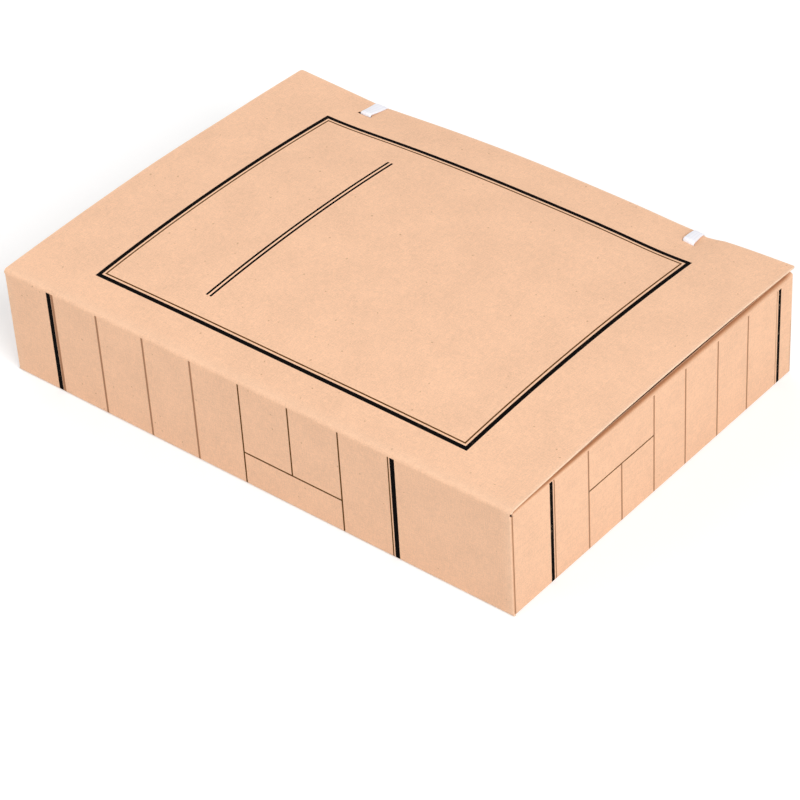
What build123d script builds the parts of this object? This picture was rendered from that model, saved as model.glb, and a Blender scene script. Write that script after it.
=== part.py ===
from build123d import *
import os

# Archive box of creased board, lying on its base: -Y is the spine, +X the tail end, +Z up.
# The origin is on the table, under the middle of the cover. All lengths are in millimetres.

# Outside of the box
cover_length = 310.0  # along the spine
cover_width = 220.0  # from the face of the spine to the fore edge
tray_height = 60.0  # from the table to the underside of the closed cover
board = 1.0  # thickness of the board
end_overhang = 0.2  # cover beyond each end wall
fore_overhang = 1.2  # cover beyond the fore-edge wall

# Bow of the cover, which the straps hold down near both ends of its fore edge
middle_rise = 6.2  # middle of the section half way along the spine, above the section's ends
strap_rise = 5.9  # the same at a strap
flank_rise = 4.4  # the same half way between a strap and the nearest end
end_rise = 2.6  # the same at the ends of the cover
middle_lift = 1.3  # fore edge half way along the spine, above the edge at the crease
inner_lift = 0.2  # the same half way between the middle and a strap
corner_lift = 0.9  # fore corners, above the edge at the crease
strap_pull = 2.2  # fore edge at a strap, below the edge at the crease
flank_pull = 0.6  # the same half way between a strap and the nearest end

# Folds of the board
fold_inside = 0.3  # inner radius of a hard fold
fold_land = 0.2  # flat foot that a fold keeps before the next panel starts
crease_inside = 1.0  # inner radius of the soft crease that hinges the cover
hinge_gap = 0.3  # crease to the cover
seat_gap = 0.3  # wall tops below the cover
layer_gap = 0.1  # between the layers of a rolled end
notch_gap = 0.2  # rolled end short of the crease
corner_gap = 0.1  # end wall short of the faces of the spine and the fore-edge wall

# Corner tabs between the layers of the rolled ends, and the lugs that lock these to the base
tab_length = 40.0
tab_gap = 0.3  # tab above the fold of the end wall
lug_width = 30.0
lug_spacing = 120.0  # from lug to lug on one end
lug_lift = 0.1  # lug above the table
slot_gap = 0.3  # around a lug

# Woven tape
tape_width = 8.5
tape_thickness = 0.5
tape_gap = 0.15  # tape off the board that it lies on
tape_bend_share = 2.5  # inner radius of a bend, as a share of tape_gap
slit_gap = 0.25  # slit wider than the tape's thickness, each side
slit_play = 1.0  # slit longer than the tape is wide, each end

# Straps on the cover
strap_inset = 55.0  # middle of a strap from the end of the cover
slit_inset = 13.5  # slit from the fore edge
strap_paste = 25.0  # length pasted inside the cover
flex_drop = 1.0  # line where the strap bends freely, below the edge of the cover
flex_gap = 0.05  # between the strap's two stretches on that line
strap_drop = 7.5  # from that line to the pin
stitch_length = 5.0  # tape turned back over itself and sewn

# Pins at the ends of the straps
pin_thickness = 1.4
pin_gap = 0.1  # around the bar that the tape goes round
pin_edge = 0.3  # rounding of the pin's edges
bar_height = 1.8
eye_gap = 0.4  # eye larger than the tape in it
eye_corner = 0.3
head_rim = 2.0  # beside and below the eye
head_corner = 1.6
tongue_width = 6.0
tongue_length = 34.0
tip_width = 3.6

# Loops on the fore-edge wall
loop_span = 15.0  # between the two slits of a loop
loop_stand = 4.6  # room between the wall and the loop
loop_corner = 4.0  # inner radius of the arch
loop_paste = 15.0  # each end pasted inside the wall
loop_grip = 15.5  # tip of the pin below the middle of the loop

overrun = 5.0  # cuts pass the board by this much
quarter_turn = 90
half_turn = 180

# Faces and levels that several pieces share
fold_outside = board + fold_inside
crease_outside = board + crease_inside
fore_edge = cover_width / 2
spine_face = -cover_width / 2
fore_face = fore_edge - fore_overhang
end_face = cover_length / 2 - end_overhang
cover_top = tray_height + board
wall_top = tray_height - seat_gap
pulled_edge = tray_height - strap_pull
fore_top = pulled_edge - seat_gap
crease_level = cover_top - crease_outside

# Layers of a rolled end, from the outside in
outer_inside = end_face - board
tab_outside = outer_inside - layer_gap
tab_inside = tab_outside - board
inner_outside = tab_inside - layer_gap
inner_inside = inner_outside - board
roll_middle = (end_face + inner_inside) / 2
roll_outside = (end_face - inner_inside) / 2
roll_level = wall_top - roll_outside

# Ends of the flat panels, where the folds begin
wall_half = tab_outside - fold_outside - fold_land
base_spine = spine_face + fold_outside + fold_land
base_fore = fore_face - fold_outside - fold_land
base_end = end_face - fold_outside - fold_land
outer_spine = spine_face + corner_gap
outer_fore = fore_face - corner_gap
roll_spine = spine_face + crease_outside + notch_gap
inner_fore = fore_face - fold_outside
tab_bottom = fold_outside + tab_gap
tab_top = min(roll_level, fore_top)

# Edge of the cover at the crease, and the middle of its sections
hinge_edge = spine_face + crease_outside + hinge_gap
crown_middle = (fore_edge + hinge_edge) / 2

# Places of the tapes and the pins
tape_bend = tape_bend_share * tape_gap + tape_thickness / 2
slit_width = tape_thickness + 2 * slit_gap
slit_length = tape_width + 2 * slit_play
strap_place = cover_length / 2 - strap_inset
slit_place = fore_edge - slit_inset
strap_line = fore_edge + tape_gap + tape_thickness / 2
flex_level = pulled_edge - flex_drop
eye_height = tape_thickness + pin_gap + eye_gap
eye_width = tape_width + 2 * eye_gap
head_width = eye_width + 2 * head_rim
head_height = bar_height + eye_height + head_rim
bar_top = flex_level - strap_drop
head_bottom = bar_top - head_height
tip_level = head_bottom - tongue_length
loop_level = tip_level + loop_grip
paste_line = fore_face - board - tape_gap - tape_thickness / 2
crest_line = fore_face + loop_stand + tape_thickness / 2

# Sections that the cover runs through: place along the spine, rise, and lift of the fore edge
outer_sections = [
    (strap_place / 2, middle_rise, inner_lift),
    (strap_place, strap_rise, -strap_pull),
    (strap_place + strap_inset / 2, flank_rise, -flank_pull),
    (cover_length / 2, end_rise, corner_lift),
]
head_sections = [(-station, rise, lift) for station, rise, lift in reversed(outer_sections)]
cover_sections = head_sections + [(0, middle_rise, middle_lift)] + outer_sections


def on_cover(place, above, rise=strap_rise, fore_lift=-strap_pull):
    # Point of a bowed section of the cover, this far above its top face
    width_share = (place - hinge_edge) / (fore_edge - hinge_edge)
    bow = 4 * rise * width_share * (1 - width_share)
    return (place, cover_top + fore_lift * width_share + bow + above)


def bent_board(plane, points, side):
    # Section of a folded board whose outer face follows the points
    with BuildSketch(plane) as section:
        with BuildLine():
            FilletPolyline(*points, radius=fold_outside)
            offset(amount=board, side=side)
        make_face()
    return section.sketch


def bent_tape(plane, points, radii):
    # Section of a bent tape whose middle follows the points
    with BuildSketch(plane) as section:
        with BuildLine() as middle:
            FilletPolyline(*points, radius=radii)
        trace(middle.edges(), line_width=tape_thickness)
    return section.sketch


def keep(piece, name):
    piece.part.label = name
    export_step(piece.part, f"parts/{name}.step")


os.makedirs("parts", exist_ok=True)

# Base, notched at each end for the lugs
with BuildPart() as base_panel:
    with BuildSketch():
        notch_depth = base_end - inner_inside + slot_gap
        with Locations((0, (base_spine + base_fore) / 2)):
            Rectangle(2 * base_end, base_fore - base_spine)
            with GridLocations(2 * base_end - notch_depth, lug_spacing, 2, 2):
                Rectangle(notch_depth, lug_width + 2 * slot_gap, mode=Mode.SUBTRACT)
    extrude(amount=board)
keep(base_panel, "base_panel")

# Spine, folded up from the base
with BuildPart() as spine_panel:
    spine_path = [(base_spine, 0), (spine_face, 0), (spine_face, crease_level)]
    extrude(bent_board(Plane.YZ, spine_path, Side.RIGHT), amount=wall_half, both=True)
keep(spine_panel, "spine_panel")

# Soft crease between the spine and the cover
with BuildPart() as cover_crease:
    with BuildSketch(Plane.YZ):
        crease_middle = (spine_face + crease_outside, crease_level)
        with BuildLine():
            outside = CenterArc(crease_middle, crease_outside, quarter_turn, quarter_turn)
            inside = CenterArc(crease_middle, crease_inside, quarter_turn, quarter_turn)
            Line(outside @ 0, inside @ 0)
            Line(outside @ 1, inside @ 1)
        make_face()
    extrude(amount=cover_length / 2, both=True)
keep(cover_crease, "cover_crease")

# Cover, sprung into a bow and slit for the straps
with BuildPart() as cover_panel:
    for station, rise, fore_lift in cover_sections:
        with BuildSketch(Plane.YZ.offset(station)):
            with BuildLine():
                top_middle = on_cover(crown_middle, rise, rise, fore_lift)
                under_middle = on_cover(crown_middle, rise - board, rise, fore_lift)
                top_ends = [on_cover(place, 0, rise, fore_lift) for place in (hinge_edge, fore_edge)]
                under_ends = [on_cover(place, -board, rise, fore_lift) for place in (hinge_edge, fore_edge)]
                top = Bezier(top_ends[0], top_middle, top_ends[1])
                under = Bezier(under_ends[0], under_middle, under_ends[1])
                Line(top @ 0, under @ 0)
                Line(top @ 1, under @ 1)
            make_face()
    loft()
    with Locations((-strap_place, slit_place, cover_top), (strap_place, slit_place, cover_top)):
        Box(slit_length, slit_width, 2 * (strap_rise + board + overrun), mode=Mode.SUBTRACT)
keep(cover_panel, "cover_panel")

# Fore-edge wall, slit for the ends of the loops
with BuildPart() as fore_edge_wall:
    fore_path = [(base_fore, 0), (fore_face, 0), (fore_face, fore_top)]
    extrude(bent_board(Plane.YZ, fore_path, Side.LEFT), amount=wall_half, both=True)
    slit_pair = (strap_place - loop_span / 2, strap_place + loop_span / 2)
    with Locations(*((side * place, fore_face, loop_level) for side in (-1, 1) for place in slit_pair)):
        Box(slit_width, 2 * (board + overrun), slit_length, mode=Mode.SUBTRACT)
keep(fore_edge_wall, "fore_edge_wall")

# Outer layer of the tail end, folded up from the base
with BuildPart() as end_outer:
    outer_path = [(base_end, 0), (end_face, 0), (end_face, roll_level)]
    outer_plane = Plane.XZ.offset(-(outer_spine + outer_fore) / 2)
    outer_half = (outer_fore - outer_spine) / 2
    extrude(bent_board(outer_plane, outer_path, Side.LEFT), amount=outer_half, both=True)

# Roll over the top of the tail end
with BuildPart() as end_roll:
    with BuildSketch(Plane.XZ.offset(-(roll_spine + outer_fore) / 2)):
        with BuildLine():
            outside = CenterArc((roll_middle, roll_level), roll_outside, 0, half_turn)
            inside = CenterArc((roll_middle, roll_level), roll_outside - board, 0, half_turn)
            Line(outside @ 0, inside @ 0)
            Line(outside @ 1, inside @ 1)
        make_face()
    extrude(amount=(outer_fore - roll_spine) / 2, both=True)

# Inner layer of the tail end, with the lugs that lock it to the base
with BuildPart() as end_inner:
    with BuildSketch(Plane.YZ.offset(inner_inside)):
        with Locations(((roll_spine + inner_fore) / 2, (board + roll_level) / 2)):
            Rectangle(inner_fore - roll_spine, roll_level - board)
        with Locations(((base_spine + base_fore) / 2, (lug_lift + board) / 2)):
            with GridLocations(lug_spacing, 0, 2, 1):
                Rectangle(lug_width, board - lug_lift)
    extrude(amount=board)

# Corner tabs of the spine and the fore-edge wall, tucked between the two layers
with BuildPart() as spine_tab:
    tab_path = [(wall_half, spine_face), (tab_outside, spine_face), (tab_outside, spine_face + tab_length)]
    extrude(bent_board(Plane.XY.offset(tab_bottom), tab_path, Side.LEFT), amount=tab_top - tab_bottom)

with BuildPart() as fore_tab:
    tab_path = [(wall_half, fore_face), (tab_outside, fore_face), (tab_outside, fore_face - tab_length)]
    extrude(bent_board(Plane.XY.offset(tab_bottom), tab_path, Side.RIGHT), amount=tab_top - tab_bottom)

# Strap: pasted inside the cover, up through its slit, over the fore edge
with BuildPart() as strap:
    under_lift = -board - tape_gap - tape_thickness / 2
    over_lift = tape_gap + tape_thickness / 2
    strap_path = [
        on_cover(slit_place - strap_paste, under_lift),
        on_cover(slit_place, under_lift),
        on_cover(slit_place, over_lift),
        on_cover(strap_line, over_lift),
        (strap_line, flex_level + tape_thickness / 2 + flex_gap),
    ]
    strap_section = bent_tape(Plane.YZ.offset(strap_place), strap_path, tape_bend)
    extrude(strap_section, amount=tape_width / 2, both=True)

# Free end of the strap, sewn round the bar of its pin
with BuildPart() as strap_end:
    with BuildSketch(Plane.YZ.offset(strap_place)):
        round_top = bar_top + pin_gap + tape_thickness
        round_width = pin_thickness + 2 * (pin_gap + tape_thickness)
        round_height = bar_height + 2 * (pin_gap + tape_thickness)
        with Locations((strap_line, bar_top - bar_height / 2)):
            RectangleRounded(round_width, round_height, tape_thickness + pin_gap)
            bar_room = (pin_thickness + 2 * pin_gap, bar_height + 2 * pin_gap)
            RectangleRounded(*bar_room, pin_gap, mode=Mode.SUBTRACT)
        with Locations((strap_line, flex_level)):
            Circle(tape_thickness / 2)
        hang_foot = round_top - tape_thickness / 2
        with Locations((strap_line, (flex_level + hang_foot) / 2)):
            Rectangle(tape_thickness, flex_level - hang_foot)
        with Locations((strap_line + tape_thickness, hang_foot + stitch_length / 2)):
            Rectangle(tape_thickness, stitch_length)
    extrude(amount=tape_width / 2, both=True)

# Pin: a flat tongue with an eye for the tape in its head
with BuildPart() as pin:
    with BuildSketch(Plane.XZ.offset(-strap_line)):
        with Locations((strap_place, bar_top - head_height / 2)):
            RectangleRounded(head_width, head_height, head_corner)
        tip_middle = (strap_place, tip_level + tip_width / 2)
        with BuildLine():
            Polyline(
                (strap_place - tongue_width / 2, head_bottom + head_rim / 2),
                (strap_place - tip_width / 2, tip_level + tip_width / 2),
                (strap_place + tip_width / 2, tip_level + tip_width / 2),
                (strap_place + tongue_width / 2, head_bottom + head_rim / 2),
                close=True,
            )
        make_face()
        with Locations(tip_middle):
            Circle(tip_width / 2)
        with Locations((strap_place, bar_top - bar_height - eye_height / 2)):
            RectangleRounded(eye_width, eye_height, eye_corner, mode=Mode.SUBTRACT)
    extrude(amount=pin_thickness / 2, both=True)
    outer_faces = pin.faces().filter_by(Axis.Y)
    fillet(outer_faces.edges(), pin_edge)

# Loop: both ends pasted inside the wall, arched over the pin outside it
with BuildPart() as loop:
    loop_path = [
        (strap_place - loop_span / 2 - loop_paste, paste_line),
        (strap_place - loop_span / 2, paste_line),
        (strap_place - loop_span / 2, crest_line),
        (strap_place + loop_span / 2, crest_line),
        (strap_place + loop_span / 2, paste_line),
        (strap_place + loop_span / 2 + loop_paste, paste_line),
    ]
    arch_bend = loop_corner + tape_thickness / 2
    loop_bends = [tape_bend, arch_bend, arch_bend, tape_bend]
    loop_section = bent_tape(Plane.XY.offset(loop_level), loop_path, loop_bends)
    extrude(loop_section, amount=tape_width / 2, both=True)

# The head end mirrors the tail end
end_pieces = {
    "end_outer": end_outer,
    "end_roll": end_roll,
    "end_inner": end_inner,
    "spine_tab": spine_tab,
    "fore_tab": fore_tab,
    "strap": strap,
    "strap_end": strap_end,
    "pin": pin,
    "loop": loop,
}
for name, tail_piece in end_pieces.items():
    keep(tail_piece, f"tail_{name}")
    with BuildPart() as head_piece:
        mirror(tail_piece.part, about=Plane.YZ)
    keep(head_piece, f"head_{name}")
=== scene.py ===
import itertools
import math

import bmesh
import bpy
import numpy as np
from mathutils import Matrix, Vector


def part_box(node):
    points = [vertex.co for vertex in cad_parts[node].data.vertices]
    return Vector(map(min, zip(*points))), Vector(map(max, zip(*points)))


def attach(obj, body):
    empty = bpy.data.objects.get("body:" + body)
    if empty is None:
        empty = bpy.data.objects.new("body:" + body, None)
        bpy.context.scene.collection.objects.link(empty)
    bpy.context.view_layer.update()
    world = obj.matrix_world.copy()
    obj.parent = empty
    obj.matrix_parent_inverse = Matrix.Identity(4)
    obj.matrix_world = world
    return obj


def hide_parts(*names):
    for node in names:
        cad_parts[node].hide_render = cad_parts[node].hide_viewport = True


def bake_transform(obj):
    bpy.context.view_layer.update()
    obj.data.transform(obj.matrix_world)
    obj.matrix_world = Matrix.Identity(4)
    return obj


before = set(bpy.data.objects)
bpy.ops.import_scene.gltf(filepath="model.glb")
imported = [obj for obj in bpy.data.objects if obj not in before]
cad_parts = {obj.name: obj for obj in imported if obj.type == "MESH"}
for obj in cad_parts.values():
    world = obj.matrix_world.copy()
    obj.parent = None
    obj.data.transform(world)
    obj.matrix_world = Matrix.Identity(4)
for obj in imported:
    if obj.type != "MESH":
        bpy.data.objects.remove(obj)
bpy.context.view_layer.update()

mm = 0.001
board = 1.0 * mm  # thickness of the board
samePlace = 1e-6  # places nearer than this are one
sideNames = {"head": -1, "tail": 1}
print("frame loaded with", len(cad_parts), "nodes")


# Shared curves

def fairCurve(places, values):
    # smooth curve through a few values, straight at both ends
    xs = np.array(places, float)
    ys = np.array(values, float)
    steps = np.diff(xs)
    system = np.eye(len(xs))
    right = np.zeros(len(xs))
    for i in range(1, len(xs) - 1):
        system[i, i - 1:i + 2] = steps[i - 1], 2 * (steps[i - 1] + steps[i]), steps[i]
        right[i] = 6 * ((ys[i + 1] - ys[i]) / steps[i] - (ys[i] - ys[i - 1]) / steps[i - 1])
    bends = np.linalg.solve(system, right)

    def read(x):
        i = int(np.clip(np.searchsorted(xs, x) - 1, 0, len(xs) - 2))
        after = (x - xs[i]) / steps[i]
        before = 1 - after
        straight = before * ys[i] + after * ys[i + 1]
        bowed = (before**3 - before) * bends[i] + (after**3 - after) * bends[i + 1]
        return float(straight + bowed * steps[i] ** 2 / 6)

    return read


def smoothPath(points, fineness, steps=16):
    # even points along a smooth line through the given ones, and its length
    pts = [Vector(p) for p in points]
    pts = [2 * pts[0] - pts[1]] + pts + [2 * pts[-1] - pts[-2]]
    fine = []
    for a, b, c, d in zip(pts, pts[1:], pts[2:], pts[3:]):
        for k in range(steps):
            t = k / steps
            fine.append(0.5 * (2 * b + (c - a) * t + (2 * a - 5 * b + 4 * c - d) * t**2
                               + (3 * b - a - 3 * c + d) * t**3))
    fine.append(pts[-2])
    runs = np.cumsum([0.0] + [(b - a).length for a, b in zip(fine, fine[1:])])
    places = np.linspace(0.0, runs[-1], max(2, round(runs[-1] / fineness)) + 1)
    even = zip(*(np.interp(places, runs, values) for values in zip(*fine)))
    return [Vector(spot) for spot in even], float(runs[-1])


def lines(start, end, count, extra=()):
    # evenly spaced places, with a few more at the given ones
    places = sorted([between(start, end, k / count) for k in range(count + 1)] + list(extra))
    return [p for k, p in enumerate(places) if k == 0 or p - places[k - 1] > 2 * samePlace]


def between(start, end, share):
    return start + (end - start) * share


def ease(low, high, value):
    share = min(max((value - low) / (high - low), 0.0), 1.0)
    return share * share * (3 - 2 * share)


# Places of the CAD pieces that the scene follows
coverLow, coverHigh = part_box("cover_panel")
creaseLow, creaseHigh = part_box("cover_crease")
spineLow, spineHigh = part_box("spine_panel")
foreLow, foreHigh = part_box("fore_edge_wall")
tabLow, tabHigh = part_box("tail_spine_tab")
outerLow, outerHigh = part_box("tail_end_outer")
rollLow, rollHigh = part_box("tail_end_roll")
innerLow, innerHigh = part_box("tail_end_inner")
baseLow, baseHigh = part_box("base_panel")
strapBoxes = {side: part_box(f"{side}_strap") for side in sideNames}
loopBoxes = {side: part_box(f"{side}_loop") for side in sideNames}
coverLevel = creaseHigh.z  # top of the cover along the crease
strapX = {side: (low.x + high.x) / 2 for side, (low, high) in strapBoxes.items()}
tapeWidth = strapBoxes["tail"][1].x - strapBoxes["tail"][0].x
tapeRibs = 4
loopLevel = (loopBoxes["tail"][0].z + loopBoxes["tail"][1].z) / 2


# Materials

def feed(tree, socket, value):
    # the value is a number, a colour or the output of another node
    if isinstance(value, bpy.types.NodeSocket):
        tree.links.new(value, socket)
    else:
        socket.default_value = (*value, 1.0) if socket.type == "RGBA" else value


def addNode(tree, kind, values=None, **settings):
    node = tree.nodes.new("ShaderNode" + kind)
    for label, setting in settings.items():
        setattr(node, label, setting)
    for label, value in (values or {}).items():
        feed(tree, node.inputs[label], value)
    return node


def objectPlace(tree):
    return addNode(tree, "TexCoord").outputs["Object"]


def noiseNode(tree, coords, scale, detail=2.0, rough=0.5, stretch=None):
    if stretch:
        coords = addNode(tree, "Mapping", {"Vector": coords, "Scale": stretch}).outputs["Vector"]
    values = {"Vector": coords, "Scale": scale, "Detail": detail, "Roughness": rough}
    return addNode(tree, "TexNoise", values).outputs["Fac"]


def spread(tree, value, low, high, newLow=0.0, newHigh=1.0):
    values = {"Value": value, "From Min": low, "From Max": high, "To Min": newLow, "To Max": newHigh}
    return addNode(tree, "MapRange", values, interpolation_type="SMOOTHSTEP").outputs["Result"]


def combine(tree, kind, value, *others):
    for other in others:
        value = addNode(tree, "Math", {0: value, 1: other}, operation=kind).outputs["Value"]
    return value


def weigh(tree, *pairs):
    # sum of values, each times its weight
    return combine(tree, "ADD", *(combine(tree, "MULTIPLY", *pair) for pair in pairs))


def tint(tree, share, first, second):
    # first colour where the share is 0, second where it is 1
    node = addNode(tree, "Mix", data_type="RGBA")
    for label, value in (("Factor", share), ("A", first), ("B", second)):
        feed(tree, next(s for s in node.inputs if s.name == label and s.enabled), value)
    return next(s for s in node.outputs if s.enabled)


def shaderGroup(name, inputs, outputs):
    # an input given as three numbers is a colour
    group = bpy.data.node_groups.new(name, "ShaderNodeTree")
    for label, value in inputs.items():
        isColor = isinstance(value, tuple)
        kind = "NodeSocketColor" if isColor else "NodeSocketFloat"
        socket = group.interface.new_socket(label, in_out="INPUT", socket_type=kind)
        socket.default_value = (*value, 1.0) if isColor else value
    for label in outputs:
        kind = "NodeSocketColor" if label == "Color" else "NodeSocketFloat"
        group.interface.new_socket(label, in_out="OUTPUT", socket_type=kind)
    return group, group.nodes.new("NodeGroupInput").outputs, group.nodes.new("NodeGroupOutput").inputs


kraftColor = (0.895, 0.555, 0.362)
cutColor = (0.92, 0.66, 0.47)
bareColor = (0.45, 0.29, 0.2)  # fibres that show through ink
speckColor = (0.42, 0.21, 0.11)
# lighter colour of rubbed wear, also painted highlight along folds, bends and edges
rubAndHighlightColor = (0.93, 0.67, 0.48)
# painted shade: the warm brown of hollows and gaps out of the light
paintedShadeColor = (0.34, 0.12, 0.035)
# near black of the deepest painted shade, in slits and holes
deepShadeColor = (0.03, 0.014, 0.008)
fibreSet = {
    "cloud": (45, 3), "patch": (320, 4, 0.6), "grain": (1700, 3, 0.6),  # scale, detail and roughness
    "fibre": (1, 2, 0.5), "fibreRuns": ((260, 2600, 1500), (2600, 260, 1500), (1500, 2600, 260)),
    "fibreRange": (1.2, 1.85), "fibreShare": 0.6, "patchShare": 0.7, "noiseRange": (0.25, 0.75),
    "speckScale": 230, "speckSize": (0.07, 0.14), "speckPick": (0.72, 0.92),
    "wobbleScale": 900, "wobble": 1.2 * mm,
    "rubRange": (0.3, 0.6), "rubLeast": 0.45, "hollowRange": (0.82, 1.0),
    "grainHeight": 0.6, "fibreHeight": 0.5, "roughRange": (0.2, 0.8), "roughs": (0.78, 0.92),
}


def makeFibreGroup():
    # pressed fibres: mottling, grain, short fibres and specks, then rubbed wear with painted highlight, and
    # painted shade in the hollows
    group, given, wanted = shaderGroup(
        "pressedFibre",
        {"Color": kraftColor, "Mottle": 0.0, "Grain": 0.0, "Specks": 0.0, "Speck Color": speckColor,
         "Rub": 0.0, "Rub Color": rubAndHighlightColor, "Grime": 0.0, "Grime Color": paintedShadeColor,
         "Hollow Color": deepShadeColor},
        ("Color", "Height", "Roughness"))
    coords = objectPlace(group)
    cloud, patch, grain = (noiseNode(group, coords, *fibreSet[k]) for k in ("cloud", "patch", "grain"))
    runs = (noiseNode(group, coords, *fibreSet["fibre"], run) for run in fibreSet["fibreRuns"])
    fibre = spread(group, combine(group, "ADD", *runs), *fibreSet["fibreRange"])
    limits, patchShare, fibreShare = (fibreSet[k] for k in ("noiseRange", "patchShare", "fibreShare"))
    soft = combine(group, "ADD", spread(group, cloud, *limits, -1, 1),
                   spread(group, patch, *limits, -patchShare, patchShare))
    fine = combine(group, "ADD", spread(group, grain, *limits, -1, 1),
                   spread(group, fibre, 0, 1, -fibreShare, fibreShare))
    shade = weigh(group, (soft, given["Mottle"]), (fine, given["Grain"]))
    color = addNode(group, "VectorMath", {0: given["Color"], "Scale": combine(group, "ADD", shade, 1.0)},
                    operation="SCALE").outputs["Vector"]

    jitter = addNode(group, "TexNoise", {"Vector": coords, "Scale": fibreSet["wobbleScale"]})
    shifts = {0: jitter.outputs["Color"], 1: [fibreSet["wobble"]] * 3, 2: coords}
    uneven = addNode(group, "VectorMath", shifts, operation="MULTIPLY_ADD").outputs["Vector"]
    cells = addNode(group, "TexVoronoi", {"Vector": uneven, "Scale": fibreSet["speckScale"]}).outputs
    chance = addNode(group, "SeparateColor", {"Color": cells["Color"]}).outputs["Red"]
    near = spread(group, cells["Distance"], *fibreSet["speckSize"], 1, 0)
    speck = combine(group, "MULTIPLY", near, spread(group, chance, *fibreSet["speckPick"]), given["Specks"])

    # patchy lightening of rubbed wear and painted highlight
    patchy = spread(group, patch, *fibreSet["rubRange"], fibreSet["rubLeast"], 1.0)
    rubAndHighlight = combine(group, "MULTIPLY", given["Rub"], patchy)
    # the deepest painted shade turns near black
    hollow = spread(group, given["Grime"], *fibreSet["hollowRange"])
    for kind, share in (("Speck", speck), ("Rub", rubAndHighlight), ("Grime", given["Grime"]), ("Hollow", hollow)):
        color = tint(group, share, color, given[kind + " Color"])
    feed(group, wanted["Color"], color)
    feed(group, wanted["Height"],
         weigh(group, (grain, fibreSet["grainHeight"]), (fibre, fibreSet["fibreHeight"])))
    feed(group, wanted["Roughness"], spread(group, patch, *fibreSet["roughRange"], *fibreSet["roughs"]))
    return group


tapeColor = (0.94, 0.935, 0.98)
# painted shade in the tape's grooves
grooveShadeColor = (0.87, 0.86, 0.935)
threadColor = (0.9, 0.9, 0.92)
threadShade = (0.66, 0.67, 0.72)
weaveSet = {
    "wander": (300, 1), "wanderReach": 0.4 * mm, "fuzz": (4000, 2),
    "pickHeight": 0.5, "fuzzHeight": 0.6, "ribHeight": 0.6,
    "grooveRange": (0.35, 1.0), "weaveRange": (-0.5, 1.0), "weaveShare": 0.25,
}


def makeWeaveGroup():
    # fine picks across the tape, with painted shade in the grooves between its ribs, from its own length and
    # width
    group, given, wanted = shaderGroup(
        "tapeWeave", {"Color": tapeColor, "Shade": grooveShadeColor, "Picks": 0.0, "Ribs": 0.0},
        ("Color", "Height"))
    run = addNode(group, "UVMap", uv_map="tapeRun").outputs["UV"]
    split = addNode(group, "SeparateXYZ", {"Vector": run}).outputs

    def wave(kind, value, count):
        turns = combine(group, "MULTIPLY", value, count)
        return addNode(group, "Math", {0: turns}, operation=kind).outputs["Value"]

    wander = combine(group, "MULTIPLY", noiseNode(group, run, *weaveSet["wander"]), weaveSet["wanderReach"])
    picks = wave("SINE", combine(group, "ADD", split["X"], wander), given["Picks"])
    ribs = wave("COSINE", split["Y"], given["Ribs"])
    fuzz = noiseNode(group, run, *weaveSet["fuzz"])
    weave = weigh(group, (picks, weaveSet["pickHeight"]), (fuzz, weaveSet["fuzzHeight"]))
    ribbed = combine(group, "MULTIPLY", ribs, weaveSet["ribHeight"])
    # painted shade in the grooves between the ribs and in the low places of the weave
    groove = spread(group, ribs, *weaveSet["grooveRange"])
    weaveShade = spread(group, weave, *weaveSet["weaveRange"], weaveSet["weaveShare"], 0.0)
    dark = combine(group, "MAXIMUM", groove, weaveShade)
    feed(group, wanted["Height"], combine(group, "SUBTRACT", weave, ribbed))
    feed(group, wanted["Color"], tint(group, dark, given["Color"], given["Shade"]))
    return group


fibreGroup = makeFibreGroup()
weaveGroup = makeWeaveGroup()


def newMaterial(name, paint, look):
    # paint(tree, look) makes what feeds the shader beside the plain values of the look
    material = bpy.data.materials.new(name)
    material.use_nodes = True
    tree = material.node_tree
    shader = tree.nodes["Principled BSDF"]
    for label, value in {**look["shader"], **paint(tree, look)}.items():
        feed(tree, shader.inputs[label], value)
    return material


def bumpFrom(tree, height, look):
    values = {"Strength": look["bump"], "Distance": look["depth"], "Height": height}
    return addNode(tree, "Bump", values).outputs["Normal"]


def paintBoard(tree, look):
    # per-vertex amounts of rubbed wear with painted highlight, and of painted shade
    wearAndPaintedLight = {label: addNode(tree, "Attribute", attribute_name=label.lower()).outputs["Fac"]
            for label in ("Rub", "Grime")}
    fibre = addNode(tree, "Group", {**look["fibre"], **wearAndPaintedLight}, node_tree=fibreGroup).outputs
    return {"Base Color": fibre["Color"], "Roughness": fibre["Roughness"],
            "Normal": bumpFrom(tree, fibre["Height"], look)}


def paintInk(tree, look):
    # printed ink that sits on the fibres and misses a few of them
    fibre = addNode(tree, "Group", look["fibre"], node_tree=fibreGroup).outputs
    coords = objectPlace(tree)
    gaps = combine(tree, "MULTIPLY", *(noiseNode(tree, coords, *noise) for noise in look["gapNoises"]))
    bare = spread(tree, gaps, *look["gapRange"], 0.0, look["gapShare"])
    return {"Base Color": tint(tree, bare, look["color"], fibre["Color"]),
            "Normal": bumpFrom(tree, fibre["Height"], look)}


def paintTape(tree, look):
    weave = addNode(tree, "Group", look["weave"], node_tree=weaveGroup).outputs
    return {"Base Color": weave["Color"], "Normal": bumpFrom(tree, weave["Height"], look)}


def paintPlastic(tree, look):
    # moulded plastic with a fine matt skin
    coords = objectPlace(tree)
    matt, flow = (noiseNode(tree, coords, *look[k]) for k in ("skin", "flow"))
    cloudy = tint(tree, spread(tree, flow, *look["noiseRange"]), look["color"], look["shade"])
    return {"Base Color": cloudy, "Roughness": spread(tree, matt, *look["noiseRange"], *look["roughs"]),
            "Normal": bumpFrom(tree, matt, look)}


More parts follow.
